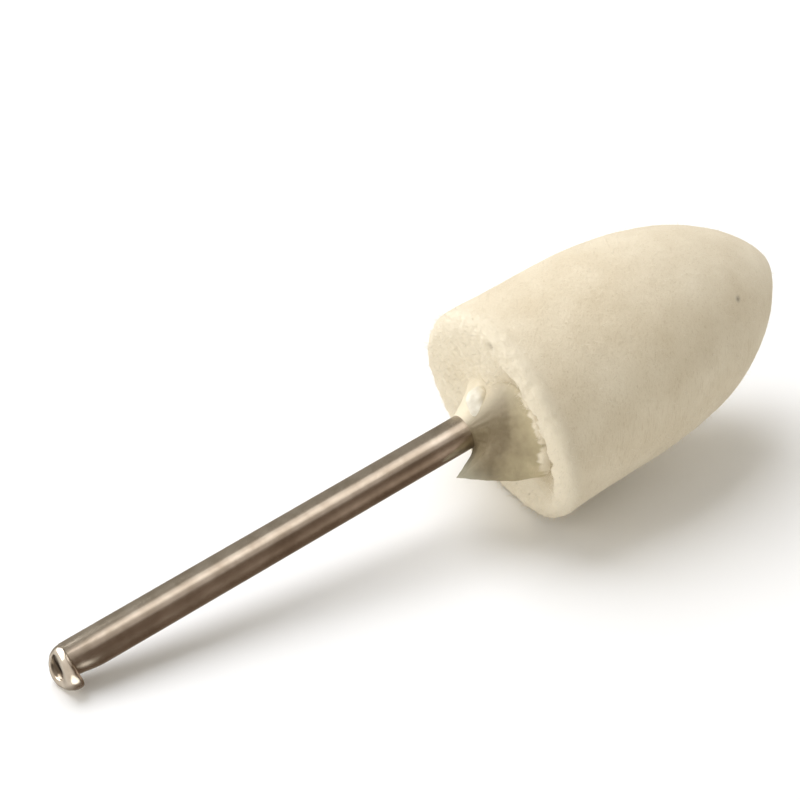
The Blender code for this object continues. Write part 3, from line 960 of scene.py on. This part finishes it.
def ring_at(ring_radius, z, shift=0.0, tilt=0.0):
    """One ring round the shank; the lip's face turns a little, which the tilt sets."""
    ring = np.zeros((SHANK_TURNS, 3))
    ring[:, :2] = np.broadcast_to(ring_radius, angles.shape)[:, None] * circle + lean * shift
    turned_face = LIP_BACK_FAR * far_side - LIP_TILT * ring_radius * np.sin(angles - LEAN_ANGLE)
    ring[:, 2] = z + tilt * turned_face
    return ring


stem_z = np.concatenate([np.linspace(REAR_Z + 3 * MM, lip_back + 6 * MM, 60),
                         np.linspace(lip_back + 5.8 * MM, lip_back + 0.12 * MM, 36)])
pinch = np.exp(-((stem_z - lip_back) / NECK_LONG) ** 2)
shank_rings = [ring_at(SHANK_RADIUS - CHAMFER, SHANK_TOP_Z),
               ring_at(SHANK_RADIUS, SHANK_TOP_Z - CHAMFER)]
back_lean = LIP_THICK_LEAN * lean_side + LIP_BACK_FAR * far_side
for z, p in zip(stem_z, pinch):
    neck = SHANK_RADIUS - (SHANK_RADIUS - NECK_RADIUS) * p
    shank_rings.append(ring_at(neck, z + back_lean * p, NECK_SHIFT * p))
print("stem:", len(shank_rings), "rings")

# %% Shank: the lip, thick on the side it leans to and well rounded on the other
back_round = LIP_ROUND * (1 - 0.95 * far_side - 0.4 * lean_side)
back_z = lip_back + LIP_THICK_LEAN * lean_side
for t in np.radians(np.linspace(75, 0, 8)):
    shank_rings.append(ring_at(LIP_RADIUS - back_round * (1 - math.cos(t)),
                               back_z - back_round * (1 - math.sin(t)), LIP_SHIFT, 1))
slope = LIP_SLOPE + LIP_SLOPE_LEAN * lean_side
front_deep = back_z - back_round - LIP_Z
for t in np.radians(np.linspace(-6, -90, 15)):
    shank_rings.append(ring_at(LIP_RADIUS - slope * (1 - math.cos(t)),
                               LIP_Z + front_deep * (1 + math.sin(t)), LIP_SHIFT, 1))
for t in np.radians(np.linspace(15, 90, 6)):
    shank_rings.append(ring_at(DISH_MOUTH + DISH_ROUND * (1 - math.sin(t)),
                               LIP_Z + DISH_ROUND * (1 - math.cos(t)), DISH_SHIFT, 1))
for share in np.linspace(0.2, 1, 6):
    left_over = 1 - share
    shank_rings.append(ring_at(DISH_MOUTH + (DISH_FLOOR - DISH_MOUTH) * share**2,
                               (LIP_Z + DISH_ROUND) * left_over**1.5, DISH_SHIFT * left_over,
                               left_over**1.5))
shank_rings.append(ring_at(DISH_FLOOR * 0.5, 0))
steel_mesh = skin("steel_shank", np.array(shank_rings), (0, 0, SHANK_TOP_Z), (0, 0, 0))
here = points_of(steel_mesh)
at_lip = 1 - smooth_step(here[:, 2], lip_back + 0.3 * MM, lip_back + 1.2 * MM)
in_dish = at_lip * (1 - smooth_step(np.hypot(here[:, 0], here[:, 1]), 0.98 * MM, 1.1 * MM))
knocks = 0.05 * MM * lumps(here, 1.1 * MM, 31) + 0.02 * MM * lumps(here, 0.45 * MM, 32)
raise_by(steel_mesh, (at_lip - in_dish) * knocks + 0.003 * MM * lumps(here, 5 * MM, 33))
# Painted shade: the dish's hollow is marked to be painted near black.
keep_mask(steel_mesh, "dish_shade", in_dish)
print("with the lip and the dish:", len(shank_rings), "rings")

# %% [markdown]
# Drawing wire through a die leaves fine lines along it, and they spread every highlight across the
# shank. They are a noise stretched a lot along the shank, which moves the roughness and a very low
# bump. The steel's colour is warm, as old nickel plating is, and softly clouded where it is duller.

# %% Shank: material
STEEL = (0.66, 0.61, 0.55, 1)
STEEL_DULL = (0.45, 0.395, 0.33, 1)
# Painted shade for the dish in the lip.
DISH_SHADE = (0.10, 0.078, 0.058, 1)

steel_finish = bpy.data.materials.new("drawn_steel")
steel_finish.use_nodes = True
tree = steel_finish.node_tree
shader = tree.nodes["Principled BSDF"]
where = add_node(tree, "ShaderNodeTexCoord")
along = add_node(tree, "ShaderNodeMapping", {"Rotation": (0, math.asin(shank_way.z), 0)})
squeeze = add_node(tree, "ShaderNodeMapping", {"Scale": (0.02, 1.0, 1.0)})
lines = add_node(tree, "ShaderNodeTexNoise", {"Scale": 9 / MM, "Detail": 4.0, "Roughness": 0.7})
smudges = place_group(tree, cloud, Cloud_mm=2.4, Contrast=2.4)
tint = add_node(tree, "ShaderNodeMix", {"A": STEEL, "B": STEEL_DULL}, data_type="RGBA")
# The dish is painted near black, a painted shade in the hollow.
dish_shaded = tint_by_mask(tree, tint.outputs["Result"], "dish_shade", DISH_SHADE)
rough = add_node(tree, "ShaderNodeMapRange",
                 {"From Min": 0.3, "From Max": 0.7, "To Min": 0.23, "To Max": 0.27})
bump = add_node(tree, "ShaderNodeBump", {"Strength": 0.06, "Distance": 0.004 * MM})
join(tree,
     (where.outputs["Object"], along.inputs["Vector"]),
     (along.outputs["Vector"], squeeze.inputs["Vector"]),
     (squeeze.outputs["Vector"], lines.inputs["Vector"]),
     (lines.outputs["Fac"], rough.inputs["Value"]),
     (rough.outputs["Result"], shader.inputs["Roughness"]),
     (smudges.outputs["Cloud"], tint.inputs["Factor"]),
     (dish_shaded, shader.inputs["Base Color"]),
     (lines.outputs["Fac"], bump.inputs["Height"]),
     (bump.outputs["Normal"], shader.inputs["Normal"]))
shader.inputs["Metallic"].default_value = 1.0
finish_piece(steel_mesh, "steel_shank", steel_finish, "shank")

# %% [markdown]
# ## Loose fuzz
#
# A few thousand single hairs stand off the felt, most of them at the fluffed rear edge. Each is a
# thin three-sided tube that starts under the surface, leans over and curls. The random numbers have
# a fixed seed, so every run grows the same hairs.

# %% Fuzz: mesh
HAIRS = 5000
HAIR_RADIUS = 0.011 * MM
HAIR_STEPS = 4

luck = random.Random(12)
roots = points_of(felt)
normals = normals_of(felt)
fluff_values = np.empty(len(roots), np.float32)
felt.attributes["fluff"].data.foreach_get("value", fluff_values)
middle_row = np.array(lay_down.to_4x4() @ Vector((*HEAD_CENTRE, 0)))[:3]
from_axis = roots - middle_row
from_axis = np.linalg.norm(from_axis - np.outer(from_axis @ np.array(shank_way), shank_way), axis=1)
in_bore = (from_axis < BORE_RADIUS * 1.4) & (roots @ np.array(shank_way) < REAR_Z + 20 * MM)
chance = np.where(in_bore, 0, from_axis / HEAD_RADIUS)
chance = chance * (0.55 + 2.6 * fluff_values)
chosen = np.searchsorted(np.cumsum(chance) / chance.sum(), [luck.random() for _ in range(HAIRS)])

hair_points, hair_faces = [], []
for index in chosen:
    normal = Vector(normals[index])
    side = normal.orthogonal().normalized()
    side.rotate(Matrix.Rotation(luck.uniform(0, 2 * math.pi), 3, normal))
    length = luck.uniform(0.18, 0.62) * MM * (1 + 0.5 * float(fluff_values[index]))
    lean_over = luck.uniform(0.5, 1.35)
    curl = luck.uniform(-0.9, 0.9)
    twist = normal.cross(side)
    spot = Vector(roots[index]) - normal * 0.04 * MM
    base = len(hair_points)
    for step in range(HAIR_STEPS + 1):
        done = step / HAIR_STEPS
        tilt = lean_over * (0.4 + 0.75 * done)
        way = normal * math.cos(tilt) + (side + twist * curl * done).normalized() * math.sin(tilt)
        thick = HAIR_RADIUS * (1 - 0.7 * done)
        first = way.orthogonal().normalized()
        second = way.cross(first)
        for corner in range(3):
            a = corner * 2 * math.pi / 3
            hair_points.append(spot + (first * math.cos(a) + second * math.sin(a)) * thick)
        if step < HAIR_STEPS:
            low = base + step * 3
            for corner in range(3):
                other = (corner + 1) % 3
                hair_faces.append((low + corner, low + other, low + 3 + other, low + 3 + corner))
        spot = spot + way * length / HAIR_STEPS
    hair_faces.append((base + 2, base + 1, base))
    end = base + HAIR_STEPS * 3
    hair_faces.append((end, end + 1, end + 2))
fuzz = bpy.data.meshes.new("wool_fuzz")
fuzz.from_pydata([tuple(p) for p in hair_points], [], hair_faces)
fuzz.transform(lay_down.to_4x4().inverted())
fuzz.shade_smooth()
print(HAIRS, "hairs")

# %% Fuzz: material
HAIR_PALE = (0.90, 0.84, 0.72, 1)
HAIR_CREAM = (0.80, 0.70, 0.54, 1)

hair_finish = bpy.data.materials.new("wool_hair")
hair_finish.use_nodes = True
tree = hair_finish.node_tree
shader = tree.nodes["Principled BSDF"]
fibres = place_group(tree, wool, Fibres_per_mm=6.0, Crimp=0.3)
shades = add_node(tree, "ShaderNodeMix", {"A": HAIR_CREAM, "B": HAIR_PALE}, data_type="RGBA")
join(tree,
     (fibres.outputs["Fibre"], shades.inputs["Factor"]),
     (shades.outputs["Result"], shader.inputs["Base Color"]))
shader.inputs["Roughness"].default_value = 0.8
shader.inputs["Sheen Weight"].default_value = 0.2
finish_piece(fuzz, "wool_fuzz", hair_finish, None)

# %% [markdown]
# ## The glue inside
#
# The sleeve of glue round the buried shank can't be seen from outside, and its CAD solid is right
# as it is. It still gets a finish of its own, hard amber glue, for anyone who opens the model up.

# %% Sleeve: material on the CAD node
AMBER_DARK = (0.34, 0.22, 0.09, 1)
AMBER_LIGHT = (0.60, 0.45, 0.24, 1)

amber = bpy.data.materials.new("hard_glue")
amber.use_nodes = True
tree = amber.node_tree
shader = tree.nodes["Principled BSDF"]
clouds = place_group(tree, cloud, Cloud_mm=1.5, Contrast=2.5)
depth = add_node(tree, "ShaderNodeMix", {"A": AMBER_DARK, "B": AMBER_LIGHT}, data_type="RGBA")
bump = add_node(tree, "ShaderNodeBump", {"Strength": 0.3, "Distance": 0.08 * MM})
join(tree,
     (clouds.outputs["Cloud"], depth.inputs["Factor"]),
     (depth.outputs["Result"], shader.inputs["Base Color"]),
     (clouds.outputs["Cloud"], bump.inputs["Height"]),
     (bump.outputs["Normal"], shader.inputs["Normal"]))
shader.inputs["Roughness"].default_value = 0.35
sleeve = frame["nodes"]["glue_sleeve"]
sleeve.data.materials.clear()
sleeve.data.materials.append(amber)
print("glue_sleeve:", len(sleeve.data.polygons), "faces, as in the CAD model")
